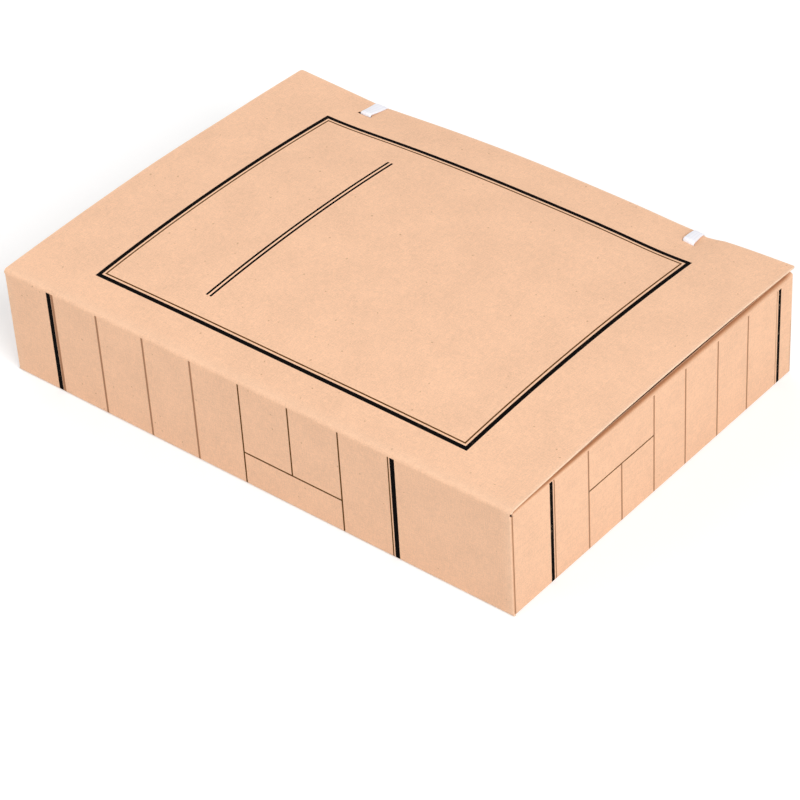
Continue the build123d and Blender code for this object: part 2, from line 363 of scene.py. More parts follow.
boardLook = {
    "fibre": {"Color": kraftColor, "Mottle": 0.03, "Grain": 0.075, "Specks": 0.55},
    "shader": {"Specular IOR Level": 0.25}, "bump": 0.35, "depth": 0.06 * mm,
}
cutLook = dict(boardLook, bump=0.6, depth=0.12 * mm,
               fibre={"Color": cutColor, "Mottle": 0.05, "Grain": 0.14, "Specks": 0.3})
inkLook = {
    "fibre": {"Color": bareColor, "Mottle": 0.03, "Grain": 0.06, "Specks": 0.2},
    "color": (0.003, 0.0025, 0.0025), "gapNoises": ((1500, 3, 0.7), (260, 2)), "gapRange": (0.38, 0.48),
    "gapShare": 0.12, "shader": {"Roughness": 0.8, "Specular IOR Level": 0.02},
    "bump": 0.15, "depth": 0.02 * mm,
}
wornLook = dict(inkLook, gapRange=(0.31, 0.42), gapShare=0.6)
hairLook = dict(inkLook, color=(0.12, 0.05, 0.01), gapShare=0.2)
paleLook = dict(inkLook, color=(0.41, 0.21, 0.12), gapShare=0.2)
tapeLook = {
    "weave": {"Picks": 9000.0, "Ribs": 2 * math.pi * tapeRibs / tapeWidth},
    "shader": {"Roughness": 0.75, "Specular IOR Level": 0.2, "Sheen Weight": 0.1, "Sheen Roughness": 0.5},
    "bump": 0.3, "depth": 0.06 * mm,
}
threadLook = dict(tapeLook, bump=0.4, shader=dict(tapeLook["shader"], Roughness=0.6), weave={
    "Color": threadColor, "Shade": threadShade, "Picks": 14000.0, "Ribs": 9000.0})
pinLook = {
    "color": (0.86, 0.86, 0.84), "shade": (0.83, 0.83, 0.82), "skin": (2600, 2),
    "flow": (90, 2, 0.5, (1, 1, 0.25)), "noiseRange": (0.3, 0.7), "roughs": (0.35, 0.47),
    "shader": {"Specular IOR Level": 0.45}, "bump": 0.12, "depth": 0.03 * mm,
}

kraftFace = newMaterial("kraftFace", paintBoard, boardLook)
kraftCut = newMaterial("kraftCut", paintBoard, cutLook)
blackInk = newMaterial("blackInk", paintInk, inkLook)
wornInk = newMaterial("wornInk", paintInk, wornLook)
hairInk = newMaterial("hairInk", paintInk, hairLook)
paleInk = newMaterial("paleInk", paintInk, paleLook)
whiteTape = newMaterial("whiteTape", paintTape, tapeLook)
whiteThread = newMaterial("whiteThread", paintTape, threadLook)
pinPlastic = newMaterial("pinPlastic", paintPlastic, pinLook)
print("materials made")


# Meshes

def addObject(name, mesh, materials):
    piece = bpy.data.objects.new(name, mesh)
    bpy.context.scene.collection.objects.link(piece)
    for material in materials:
        mesh.materials.append(material)
    return piece


def pieceFrom(bm, name, materials):
    bmesh.ops.recalc_face_normals(bm, faces=bm.faces)
    mesh = bpy.data.meshes.new(name)
    bm.to_mesh(mesh)
    bm.free()
    return addObject(name, mesh, materials)


def finishPiece(piece, body, slot, *nodes):
    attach(piece, body)
    if nodes:
        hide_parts(*nodes)
    return piece


def skin(bm, rings, isLoop=False):
    # closed skin over rings of points; returns its sides, each with the ring and the point it starts from
    count = len(rings[0])
    sides = []
    for k in range(len(rings) if isLoop else len(rings) - 1):
        here, there = rings[k], rings[(k + 1) % len(rings)]
        for n in range(count):
            m = (n + 1) % count
            sides.append((bm.faces.new([here[n], here[m], there[m], there[n]]), k, n))
    if not isLoop:
        bm.faces.new(rings[0])
        bm.faces.new(list(reversed(rings[-1])))
    return sides


def layWeave(sides, uv, placeAt):
    # smooth sides that carry their place along and across the tape
    for face, k, n in sides:
        face.smooth = True
        for loop, (i, j) in zip(face.loops, ((k, n), (k, n + 1), (k + 1, n + 1), (k + 1, n))):
            loop[uv].uv = placeAt(i, j)


boardSet = {"rounding": 0.14 * mm, "roundingSteps": 2, "sharpAngle": math.radians(50)}


def nowhere(u, v):
    return 0.0


def roundEdges(piece):
    # the piece keeps the mesh that the rounding makes
    soften = piece.modifiers.new("soften", "BEVEL")
    soften.width = boardSet["rounding"]
    soften.segments = boardSet["roundingSteps"]
    soften.limit_method = "WEIGHT"
    soften.harden_normals = True
    soften.material = -1
    bpy.context.view_layer.update()
    graph = bpy.context.evaluated_depsgraph_get()
    mesh = bpy.data.meshes.new_from_object(piece.evaluated_get(graph))
    piece.modifiers.clear()
    piece.data = mesh
    return piece


def boardSheet(name, rows, columns, place, isCut=nowhere, isSeam=nowhere, rub=nowhere, grime=nowhere):
    # closed board over a grid; place(u, v, depth) gives points of its face and, a board deeper, of its back
    # isCut leaves out a cell, isSeam keeps an edge unrounded, the last two give rubbed wear with painted
    # highlight and painted shade
    bm = bmesh.new()
    wearAndPaintedLight = [(bm.verts.layers.float.new(label), amount) for label, amount in (("rub", rub), ("grime", grime))]
    weight = bm.edges.layers.float.new("bevel_weight_edge")
    joined = set()

    def makeFace(depth):
        grid = []
        for u in rows:
            line = [bm.verts.new(place(u, v, depth)) for v in columns]
            for v, vert in zip(columns, line):
                for layer, amount in wearAndPaintedLight:
                    vert[layer] = amount(u, v)
                if isSeam(u, v):
                    joined.add(vert)
            grid.append(line)
        return grid

    top, under = makeFace(0.0), makeFace(board)
    countU, countV = len(rows) - 1, len(columns) - 1

    def isThere(i, j):
        if not (0 <= i < countU and 0 <= j < countV):
            return False
        return not isCut((rows[i] + rows[i + 1]) / 2, (columns[j] + columns[j + 1]) / 2)

    for i, j in itertools.product(range(countU), range(countV)):
        if not isThere(i, j):
            continue
        ring = [(i, j), (i, j + 1), (i + 1, j + 1), (i + 1, j)]
        bm.faces.new([top[a][b] for a, b in ring])
        bm.faces.new([under[a][b] for a, b in reversed(ring)])
        beside = [(i - 1, j), (i, j + 1), (i + 1, j), (i, j - 1)]
        for k, cell in enumerate(beside):
            if isThere(*cell):
                continue
            (a, b), (c, d) = ring[k], ring[(k + 1) % len(ring)]
            wall = bm.faces.new([top[c][d], top[a][b], under[a][b], under[c][d]])
            wall.material_index = 1
    bmesh.ops.delete(bm, geom=[v for v in bm.verts if not v.link_faces], context="VERTS")
    bmesh.ops.recalc_face_normals(bm, faces=bm.faces)
    for face in bm.faces:
        face.smooth = True
    for edge in bm.edges:
        isSharp = edge.calc_face_angle(0.0) > boardSet["sharpAngle"]
        edge.smooth = not isSharp
        edge[weight] = float(isSharp and not all(v in joined for v in edge.verts))
    return roundEdges(pieceFrom(bm, name, [kraftFace, kraftCut]))


# Cover

coverSet = {
    # lift of the fore edge and height of the arch at stations along the cover, in mm
    "stations": [-155, -125, -100, -70, -40, 0, 40, 70, 100, 125, 155],
    "foreLift": [0.8, -0.75, -1.75, -0.55, 0.8, 1.55, 1.0, 0.1, -0.9, 0.5, 1.75],
    "riseStations": [-155, -100, 0, 100, 155],
    "rise": [2.7, 5.8, 6.1, 5.6, 2.5],
    "dips": [(-99, -0.45, 6.0), (106, -1.4, 5.5)],  # hollows at the straps: place, depth and half width
    "dipReach": 25 * mm,
    "headInset": 1.15 * mm, "insetRun": (-12 * mm, 62 * mm), "insetReach": 14 * mm,  # slanted head edge
    "cornerRadii": {-1: 1.3 * mm, 1: 0.7 * mm},
    "columns": 62, "rows": 44, "rimLines": (0.5 * mm, 1.6 * mm),
    "rub": 1.3 * mm, "rubShare": 0.5, "creaseRub": 4 * mm, "creaseRubShare": 0.16,
    # the open head slit is rimmed with painted shade
    "slitWidth": 1.2 * mm, "slitRim": 0.3 * mm, "slitGrime": 0.95,
    # painted shadow of the tail strap on the board beside it, with more columns at these places from the
    # tape's edge, in mm
    "pressed": (2.8 * mm, 0.3 * mm), "pressedUnder": 1.0 * mm, "pressedGrime": 0.28, "pressedShare": 0.5,
    "pressedColumns": (-3, -2.2, -1.4, -0.7, 0, 0.7, 1.4, 2.1),
}
foreLift = fairCurve(coverSet["stations"], coverSet["foreLift"])
coverRise = fairCurve(coverSet["riseStations"], coverSet["rise"])


def coverTop(x, y):
    # height of the bowed cover's top face
    share = (y - coverLow.y) / (coverHigh.y - coverLow.y)
    place = min(max(x / mm, coverSet["stations"][0]), coverSet["stations"][-1])
    bow = 4 * coverRise(place) * share * (1 - share)
    hollow = sum(depth * math.exp(-((place - at) / width) ** 2) for at, depth, width in coverSet["dips"])
    hollow *= ease(coverHigh.y - coverSet["dipReach"], coverHigh.y, y)
    return coverLevel + (foreLift(place) * share + bow + hollow) * mm


def onCover(x, y, above=0.0):
    return Vector((x, y, coverTop(x, y) + above))


# each strap lies a little differently in its slit and on the edge
strapSet = {
    "head": {"slitInset": 13.3 * mm, "slitShift": 1.0 * mm, "edgeShift": 1.0 * mm, "arch": 0.1 * mm,
             "slitShare": 0.79, "edgeShare": 0.95, "slitPlay": (1.2 * mm, 0.3 * mm)},
    "tail": {"slitInset": 11.0 * mm, "slitShift": 1.3 * mm, "edgeShift": 0.1 * mm, "arch": 0.4 * mm,
             "slitShare": 0.76, "edgeShare": 0.64, "slitPlay": (0.5 * mm, 0.3 * mm)},
}
slitY = {side: coverHigh.y - strapSet[side]["slitInset"] for side in sideNames}


def slitSpan(side):
    lie = strapSet[side]
    middle = strapX[side] + lie["slitShift"]
    half = tapeWidth * lie["slitShare"] / 2
    return middle - half - lie["slitPlay"][0], middle + half + lie["slitPlay"][1]


def inCoverSlit(y, x):
    for side in sideNames:
        low, high = slitSpan(side)
        if low < x < high and abs(y - slitY[side]) < coverSet["slitWidth"] / 2:
            return True
    return False


def coverRubAndHighlight(y, x):
    # lighter near the edges and along the crease: rubbed wear and painted highlight
    edge = min(coverHigh.x - abs(x), coverHigh.y - y)
    return max(coverSet["rubShare"] * (1 - ease(0.0, coverSet["rub"], edge)),
               coverSet["creaseRubShare"] * (1 - ease(0.0, coverSet["creaseRub"], y - coverLow.y)))


def coverPaintedShade(y, x):
    # painted shade at the edges of the open head slit, and painted shadow of the tail strap on the board
    # beside it
    low, high = slitSpan("head")
    away = max(low - x, x - high, abs(y - slitY["head"]) - coverSet["slitWidth"] / 2, 0.0)
    slit = coverSet["slitGrime"] * (1 - ease(0.0, coverSet["slitRim"], away))
    lie = strapSet["tail"]
    share = (y - slitY["tail"]) / lie["slitInset"]
    edge = strapX["tail"] + between(lie["slitShift"], lie["edgeShift"], share)
    edge -= tapeWidth / 2 * between(lie["slitShare"], lie["edgeShare"], share)
    beside = ease(*(edge - before for before in coverSet["pressed"]), x)
    beside *= 1 - ease(edge, edge + coverSet["pressedUnder"], x)
    return max(slit, coverSet["pressedGrime"] * beside * ease(0.0, coverSet["pressedShare"], share))


def coverPlace(y, x, depth):
    # the head edge is trimmed, and the fore corners are rounded
    radius = coverSet["cornerRadii"][1 if x > 0 else -1]
    across = max(radius - coverHigh.x + abs(x), 0.0) / radius
    along = max(radius - coverHigh.y + y, 0.0) / radius
    inset = coverSet["headInset"] * ease(*coverSet["insetRun"], y)
    shift = inset * (1 - ease(0.0, coverSet["insetReach"], x - coverLow.x))
    shift -= math.copysign(radius * across * (1 - math.sqrt(1 - along**2 / 2)), x)
    return onCover(x + shift, y - radius * along * (1 - math.sqrt(1 - across**2 / 2)), -depth)


def makeCover():
    half = coverSet["slitWidth"] / 2
    rim = coverSet["slitRim"]
    columns = [place for side in sideNames for place in slitSpan(side)]
    columns += [place + s * rim for place in slitSpan("head") for s in (-1, 1)]
    columns += [strapX["tail"] - tapeWidth / 2 + d * mm for d in coverSet["pressedColumns"]]
    columns += [s * (coverHigh.x - d) for s in (-1, 1) for d in coverSet["rimLines"]]
    rows = [slitY[side] + s * half for side in sideNames for s in (-1, 1)]
    rows += [slitY["head"] + s * (half + rim) for s in (-1, 1)]
    rows += [coverHigh.y - d for d in coverSet["rimLines"]]
    piece = boardSheet("coverBoard", lines(coverLow.y, coverHigh.y, coverSet["rows"], rows),
                       lines(coverLow.x, coverHigh.x, coverSet["columns"], columns), coverPlace, inCoverSlit,
                       lambda y, x: y - coverLow.y < samePlace, coverRubAndHighlight, coverPaintedShade)
    return finishPiece(piece, "cover", "board", "cover_panel")


makeCover()
print("cover made")


# Walls

wallSet = {
    "foldRadius": 1.3 * mm, "foldSteps": 6, "cornerSteps": 6, "columns": 60, "levels": 6, "footShare": 0.8,
    "creaseSteps": 12, "creaseReach": 1.5 * mm, "creaseDrop": 0.5 * mm, "slopeRun": 2 * mm,
    "bendDrop": 0.4 * mm,
    "tabCut": 4 * mm, "tabReach": 4 * mm, "tabSteps": 4, "tabGrime": 0.8, "tabGrimeRun": (0.5 * mm, 3 * mm),
    "bendRub": 2 * mm, "bendRubShare": 0.2, "footRubRows": 8, "footRubShare": 0.3, "creaseRubShare": 0.16,
}
# the spine bulges over the ends at its corners with a hole above, the fore wall goes in behind them
spineCorner = {
    # painted shade on the end of each bent corner, and darkest inside the hole above it
    "out": coverHigh.x, "radius": 1.05 * mm, "grime": 0.8, "grimeShare": 0.4,
    "tops": {-1: 58.2 * mm, 1: 58.0 * mm}, "holeRim": 0.25 * mm,
    "holeTops": {-1: 58.7 * mm, 1: 59.6 * mm}, "holeShare": 0.6, "holeSlackShare": 1e-4,
}
foreCorner = dict(spineCorner, out=tabHigh.x, radius=1.3 * mm, grime=0.2, tops={-1: tabHigh.z, 1: tabHigh.z},
                  holeTops={-1: 0.0, 1: 0.0}, holeShare=1.0)


def footRows(face, inside, facing):
    # rows (kind, place, way out) of a fold from the base up to a wall, in the plane across the wall
    radius = wallSet["foldRadius"]
    rows = [("foot", Vector((inside, 0.0)), Vector((0, -1)))]
    for k in range(wallSet["foldSteps"] + 1):
        turn = math.pi / 2 * k / wallSet["foldSteps"]
        out = Vector((facing * math.sin(turn), -math.cos(turn)))
        rows.append(("foot", Vector((face - facing * radius, radius)) + radius * out, out))
    return rows


def wallRows(face, facing, levels):
    return [("wall", Vector((face, level)), Vector((facing, 0))) for level in levels]


def creaseRows(x):
    # from the top of the spine round to the edge of the cover
    run = wallSet["slopeRun"]
    slope = (coverTop(x, coverLow.y + run) - coverLevel) / run
    start = Vector((spineLow.y, creaseLow.z - wallSet["creaseDrop"]))
    end = Vector((coverLow.y, coverLevel))
    a, b = start, start + Vector((0, wallSet["creaseReach"]))
    c, d = end - Vector((1, slope)).normalized() * wallSet["creaseReach"], end
    rows = []
    for k in range(wallSet["creaseSteps"] + 1):
        t = k / wallSet["creaseSteps"]
        spot = a * (1 - t)**3 + 3 * b * t * (1 - t)**2 + 3 * c * t**2 * (1 - t) + d * t**3
        way = (3 * (b - a) * (1 - t)**2 + 6 * (c - b) * t * (1 - t) + 3 * (d - c) * t**2).normalized()
        rows.append(("crease", spot, Vector((-way.y, way.x))))
    return rows


def footRubAndHighlight(row):
    return wallSet["footRubShare"] * (1 - ease(0, wallSet["footRubRows"], row))


def wallSheet(name, facing, corner, rowsAt, isCut=nowhere, extraColumns=()):
    # wall with its corners bent inwards; rowsAt(x) gives its rows from the foot up
    rows = rowsAt(0.0)
    last = len(rows) - 1
    radius = corner["radius"]
    flat = corner["out"] - radius
    bend = radius * math.pi / 2

    def straightX(kind, run):
        reach = (coverHigh.x - flat) if kind == "crease" else wallSet["footShare"] * radius
        past = max(abs(run) - flat, 0.0) / bend
        return math.copysign(min(abs(run), flat) + past * reach, run)

    def place(row, run, depth):
        kind, spot, out = rows[row]
        if kind != "wall":
            x = straightX(kind, run)
            kind, spot, out = rowsAt(x)[row]
            spot = spot - out * depth
            return Vector((x, spot.x, spot.y))
        turn = max(abs(run) - flat, 0.0) / radius
        reach = radius - depth
        x = abs(run) if turn == 0.0 else flat + reach * math.sin(turn)
        y = spot.x - facing * (radius - reach * math.cos(turn))
        return Vector((math.copysign(x, run), y, spot.y))

    def isHole(level, run):
        # between the top of the bent corner and the crease
        side = 1 if run > 0 else -1
        past = (abs(run) - flat) / bend + corner["holeSlackShare"]
        low, high = corner["tops"][side] - samePlace, corner["holeTops"][side] + samePlace
        return past > corner["holeShare"] and low < level < high

    def leaveOut(row, run):
        low, high = rows[int(row)], rows[int(row) + 1]
        if abs(run) > flat and (low[0], high[0]) == ("foot", "wall"):
            return True
        return isHole((low[1].y + high[1].y) / 2, run) or isCut(row, run)

    def rub(row, run):
        # lighter bend, foot and crease: rubbed wear and painted highlight
        bent = wallSet["bendRubShare"] * (1 - ease(0.0, wallSet["bendRub"], flat - abs(run)))
        fold = 0.0
        if rows[row][0] == "crease":
            fold = wallSet["creaseRubShare"] * ease(last - wallSet["creaseSteps"], last, row)
        return max(bent, footRubAndHighlight(row), fold)

    def grime(row, run):
        # painted shade, darkest inside the hole, and on the end of each bent corner
        kind, spot, out = rows[row]
        if isHole(spot.y, run):
            return 1.0
        if kind != "wall":
            return 0.0
        return corner["grime"] * ease(flat + corner["grimeShare"] * bend, flat + bend, abs(run))

    bends = [flat + bend * k / wallSet["cornerSteps"] for k in range(wallSet["cornerSteps"] + 1)]
    bends.append(flat + bend * corner["holeShare"])
    bends = [s * place for s in (-1, 1) for place in bends]
    columns = lines(-flat, flat, wallSet["columns"], bends + list(extraColumns))
    return boardSheet(name, range(last + 1), columns, place, leaveOut,
                      lambda row, run: rows[row][0] == "crease" and row == last, rub, grime)


def makeSpine():
    tops = spineCorner["tops"]
    levels = lines(tabLow.z, tops[1], wallSet["levels"], [tops[1] - spineCorner["holeRim"], tops[-1]])
    fixed = footRows(spineLow.y, spineHigh.y, -1) + wallRows(spineLow.y, -1, levels)
    spine = wallSheet("spineBoard", -1, spineCorner, lambda x: fixed + creaseRows(x))
    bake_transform(spine)
    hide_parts("spine_panel", "cover_crease")


def makeTab(name, node, facing):
    # flat of a corner tab, between the layers of an end, its upper corner cut back beside the fold
    low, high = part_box(node)
    sign = 1 if low.x > 0 else -1
    start = (high.y if facing > 0 else low.y) - facing * wallSet["foldRadius"]
    end = low.y if facing > 0 else high.y
    outside = high.x if sign > 0 else low.x
    steps = wallSet["tabSteps"]

    def place(z, y, depth):
        cutBack = 1 - ease(0.0, wallSet["tabReach"], abs(y - start))
        top = high.z - wallSet["tabCut"] * cutBack
        share = (z - low.z) / (high.z - low.z)
        return Vector((outside - sign * depth, y, between(low.z, top, share)))

    def grime(z, y):
        # painted shade on the tab beside the fold, where it shows through the hole
        return wallSet["tabGrime"] * (1 - ease(*wallSet["tabGrimeRun"], abs(y - start)))

    cutLines = [start - facing * k * wallSet["tabReach"] / steps for k in range(1, steps + 2)]
    columns = lines(min(start, end), max(start, end), steps, cutLines)
    piece = boardSheet(name, lines(low.z, high.z, steps), columns, place,
                       isSeam=lambda z, y: abs(y - start) < samePlace, grime=grime)
    return finishPiece(piece, "tray", "board", node)


makeSpine()
for side in sideNames:
    makeTab(f"{side}SpineTabBoard", f"{side}_spine_tab", -1)
    makeTab(f"{side}ForeTabBoard", f"{side}_fore_tab", 1)
print("spine made")

endSet = {
    "setBack": 1.4 * mm, "rollSetBack": 1.7 * mm,  # from the spine
    "columns": 44, "levels": 4, "innerShares": (0.7, 0.4), "lugWidth": 30 * mm, "lugSpacing": 120 * mm,
    # at the spine and at the fore edge: size of the roll, and of the shade under the edge of the cover
    "rollSteps": 16, "rollDrops": (0.5 * mm, 0.25 * mm), "rollHeights": (2.1 * mm, 1.2 * mm),
    "shadeTops": (0.85 * mm, 0.3 * mm), "shadeDepths": (1.3 * mm, 2.5 * mm), "shadeEnd": (-2.5 * mm, 5 * mm),
    "shadeRows": (2.4 * mm, 1.4 * mm, 0.6 * mm), "grime": 0.8,
    "front": 0.5 * mm, "frontShare": 0.9, "cornerRub": 1.5 * mm, "cornerRubShare": 0.4,
    "rear": 1.1 * mm, "rearGrime": 0.65, "rearFade": (28 * mm, 40 * mm),  # shaded cut edge at the fore end
}
endStart, endStop = outerLow.y + endSet["setBack"], outerHigh.y
rollStart = outerLow.y + endSet["rollSetBack"]


def alongEnd(key, y):
    # a size that changes from the spine to the fore edge
    return between(*endSet[key], ease(endStart, endStop, y))


def endRows(y):
    # outer face of a rolled end, from its foot over the roll to the tips of the lugs
    rows = footRows(outerHigh.x, outerLow.x, 1)
    tall = alongEnd("rollHeights", y)
    base = rollHigh.z - alongEnd("rollDrops", y) - tall
    levels = lines(wallSet["foldRadius"], base - endSet["shadeRows"][0], endSet["levels"])[1:-1]
    rows += wallRows(outerHigh.x, 1, levels + [base - below for below in endSet["shadeRows"]])
    middle = Vector(((rollLow.x + rollHigh.x) / 2, base))
    reach = (rollHigh.x - rollLow.x) / 2
    for k in range(endSet["rollSteps"] + 1):
        turn = math.pi * k / endSet["rollSteps"]
        out = Vector((tall * math.cos(turn), reach * math.sin(turn))).normalized()
        rows.append(("roll", middle + Vector((reach * math.cos(turn), tall * math.sin(turn))), out))
    for level in [rollLow.z * share for share in endSet["innerShares"]] + [board, innerLow.z]:
        rows.append(("inner", Vector((innerLow.x, level)), Vector((-1, 0))))
    return rows


def makeEnd(side):
    sign = sideNames[side]
    kinds = [kind for kind, spot, out in endRows(0.0)]
    firstRoll = kinds.index("roll")
    firstInner = kinds.index("inner")
    lugMiddles = [(baseLow.y + baseHigh.y) / 2 + s * endSet["lugSpacing"] / 2 for s in (-1, 1)]
    lugs = [(middle - endSet["lugWidth"] / 2, middle + endSet["lugWidth"] / 2) for middle in lugMiddles]

    def place(row, y, depth):
        kind, spot, out = endRows(y)[row]
        spot = spot - out * depth
        return Vector((sign * spot.x, y, spot.y))

    def isCut(row, y):
        if row > len(kinds) - 2:
            return not any(low < y < high for low, high in lugs)
        if row > firstInner - 1 and y > innerHigh.y:
            return True
        return row > firstRoll and y < rollStart

    def rub(row, y):
        # lighter fore corner: rubbed wear and painted highlight
        corner = 1 - ease(0.0, endSet["cornerRub"], endStop - y)
        return max(endSet["cornerRubShare"] * corner, footRubAndHighlight(row))

    def grime(row, y):
        # painted shade in the groove under the edge of the cover, at the edge beside the spine and on the
        # cut edge at the fore end
        spot = endRows(y)[row][1]
        groove = 0.0
        if row <= firstRoll + endSet["rollSteps"] // 2:
            below = (rollHigh.z - alongEnd("shadeTops", y) - spot.y) / alongEnd("shadeDepths", y)
            groove = min(max(1 - below, 0.0), 1.0) ** 2 * ease(*endSet["shadeEnd"], endStop - y)
        front = endSet["frontShare"] * (1 - ease(0.0, endSet["front"], y - endStart))
        rear = endSet["rearGrime"] * (1 - ease(0.0, endSet["rear"], endStop - y))
        return max(endSet["grime"] * max(groove, front), rear * (1 - ease(*endSet["rearFade"], spot.y)))

    extra = [edge for lug in lugs for edge in lug] + [rollStart, innerHigh.y]
    extra += [endStart + endSet["front"], endStop - endSet["rear"]]
    columns = lines(endStart, endStop, endSet["columns"], extra)
    piece = boardSheet(f"{side}EndBoard", range(len(kinds)), columns, place, isCut, rub=rub, grime=grime)
    nodes = [f"{side}_end_{part}" for part in ("outer", "roll", "inner")]
    return finishPiece(piece, "tray", "board", *nodes)


for side in sideNames:
    makeEnd(side)
print("ends made")

loopSet = {
    "span": 15 * mm, "slitWidth": 1.0 * mm, "slitPlay": 1.0 * mm,
    # half of a route in mm: (along from the slit, out) from the wall's inside, its face and the crest
    "inside": [(14.8, 0), (8, 0), (1.6, 0), (0.45, 0.25)],
    "face": [(0, -0.5), (0, 1.0), (-0.3, 2.6)],
    "crest": [(-1.7, -0.85), (-4.2, -0.08)],
}
foreLevels = (10 * mm, 42 * mm, 50 * mm)  # rows of the fore wall beside those of the slits


def makeForeWall():
    slitHalf = tapeWidth / 2 + loopSet["slitPlay"]
    slitLevels = [loopLevel - slitHalf, loopLevel + slitHalf]
    levels = sorted([tabLow.z, loopLevel, foreHigh.z, *foreLevels, *slitLevels])
    rows = footRows(foreHigh.y, foreLow.y, 1) + wallRows(foreHigh.y, 1, levels)
    firstCut, lastCut = (len(rows) - len(levels) + levels.index(level) for level in slitLevels)
    slits = [strapX[side] + s * loopSet["span"] / 2 for side in sideNames for s in (-1, 1)]
    half = loopSet["slitWidth"] / 2

    def isCut(row, x):
        return firstCut < row < lastCut and any(abs(x - slit) < half for slit in slits)

    piece = wallSheet("foreWallBoard", 1, foreCorner, lambda x: rows, isCut,
                      [slit + s * half for slit in slits for s in (-1, 1)])
    return finishPiece(piece, "tray", "board", "fore_edge_wall")


makeForeWall()
print("fore wall made")


# Printed ruling, thin films of ink on the board

inkSet = {"lift": 0.035 * mm, "sink": 0.05 * mm, "step": 5 * mm, "wallStep": 0.6 * mm}


def inkFilm(name, strips, place, ink, body):
    # each strip is a run of left and right points on a face, place(a, b, above) puts them on the board
    bm = bmesh.new()
    lift, sink = inkSet["lift"], -inkSet["sink"]
    for left, right, isLoop in strips:
        rings = []
        for a, b in zip(left, right):
            section = ((a, lift), (b, lift), (b, sink), (a, sink))
            rings.append([bm.verts.new(place(*spot, above)) for spot, above in section])
        skin(bm, rings, isLoop)
    return finishPiece(pieceFrom(bm, name, [ink]), body, "board")


def rule(start, end, width, step=inkSet["step"]):
    # straight line between two points of a face
    a, b = Vector(start), Vector(end)
    way = (b - a).normalized()
    side = Vector((-way.y, way.x)) * width / 2
    count = max(1, round((b - a).length / step))
    spots = [a.lerp(b, k / count) for k in range(count + 1)]
    return [tuple(p + side) for p in spots], [tuple(p - side) for p in spots], False


def border(corners, inset, width):
    # frame of one line inside four corners
    ways = [Vector(way) for way in ((1, 1), (-1, 1), (-1, -1), (1, -1))]
    outer, inner = ([Vector(c) + way * depth for c, way in zip(corners, ways)]
                    for depth in (inset, inset + width))
    left, right = [], []
    for k in range(len(corners)):
        follow = (k + 1) % len(corners)
        count = round((outer[follow] - outer[k]).length / inkSet["step"])
        left += [tuple(outer[k].lerp(outer[follow], n / count)) for n in range(count)]
        right += [tuple(inner[k].lerp(inner[follow], n / count)) for n in range(count)]
    return left, right, True


coverRuling = {
    "corners": [(-113.2 * mm, -88.95 * mm), (114.75 * mm, -89.45 * mm),
                (114.15 * mm, 83.9 * mm), (-113.2 * mm, 83.4 * mm)],
    "thick": 2.25 * mm, "thin": 0.8 * mm, "thinInset": 3.35 * mm,
    "titleX": -55.4 * mm, "titleGap": 2.35 * mm, "titleRun": (-71.5 * mm, 64.4 * mm), "titleWidth": 1.2 * mm,
}
coverStrips = [border(coverRuling["corners"], 0.0, coverRuling["thick"])]
for s in (-1, 1):
    titleX = coverRuling["titleX"] + s * coverRuling["titleGap"] / 2
    coverStrips.append(rule(*((titleX, y) for y in coverRuling["titleRun"]), coverRuling["titleWidth"]))
inkFilm("coverRuling", coverStrips, onCover, blackInk, "cover")
inkFilm("coverThinRuling", [border(coverRuling["corners"], coverRuling["thinInset"], coverRuling["thin"])],
        onCover, hairInk, "cover")

# (place, width) of the lines on the walls, in mm; tops give the level of their upper ends at two places
spineRuling = {
    "foot": 0.3, "tops": ((-125.3, 88.4), (59.1, 59.0)), "ink": blackInk,
    "bars": [(-125.3, 2.7), (88.4, 2.6)],
    "rules": [(86.0, 0.7), (-3.4, 0.85), (56.6, 0.85)],
    "paleRules": [(-122.95, 1.6), (-93.7, 1.25), (-63.75, 1.2), (-33.5, 1.2)],
    "cross": (-3.4, 56.6), "crossLevel": 19.2, "crossWidth": 0.85,
    "short": (26.55, 0.85), "shortKind": "rules",
}
tailRuling = {
    "foot": 0.3, "tops": ((-81.0, 98.0), (58.1, 56.15)), "ink": wornInk,
    "bars": [(-80.9, 2.2), (98.05, 2.1)],
    "rules": [],
    "paleRules": [(-78.65, 0.75), (-53.6, 0.95), (-3.75, 0.95), (21.1, 0.95), (47.05, 0.95), (71.7, 0.95),
                  (95.75, 0.4)],
    "cross": (-53.6, -3.75), "crossLevel": 34.3, "crossWidth": 0.7,
    "short": (-28.8, 0.95), "shortKind": "paleRules",
}


def upright(ruling, place, width, low=None, high=None):
    # line up a wall, as tall as the print unless a lower or upper level is given
    bottom = ruling["foot"] if low is None else low
    top = float(np.interp(place, *ruling["tops"])) if high is None else high
    return rule((place * mm, bottom * mm), (place * mm, top * mm), width * mm, inkSet["wallStep"])


def wallStrips(ruling, kind):
    # all lines of one kind on a wall; the short rule stands on the cross rule or hangs below it
    strips = [upright(ruling, place, width) for place, width in ruling[kind]]
    level = ruling["crossLevel"]
    if kind == "rules":
        strips.append(rule(*((end * mm, level * mm) for end in ruling["cross"]), ruling["crossWidth"] * mm))
    if kind == ruling["shortKind"]:
        low, high = (level, None) if kind == "rules" else (None, level)
        strips.append(upright(ruling, *ruling["short"], low, high))
    return strips


def foldBack(level):
    # how far a wall stands back where it bends into its foot
    radius = wallSet["foldRadius"]
    below = max(radius - level, 0.0)
    return radius - math.sqrt(radius**2 - below**2)


def onSpine(x, z, above):
    return Vector((x, spineLow.y + foldBack(z) - above, z))


def onTail(y, z, above):
    # the print follows the face up on to the roll
    tall = alongEnd("rollHeights", y)
    base = rollHigh.z - alongEnd("rollDrops", y) - tall
    rise = max((z - base) / tall, 0.0)
    back = foldBack(z) + (rollHigh.x - rollLow.x) / 2 * (1 - math.sqrt(1 - rise**2))
    return Vector((outerHigh.x - back + above, y, z))


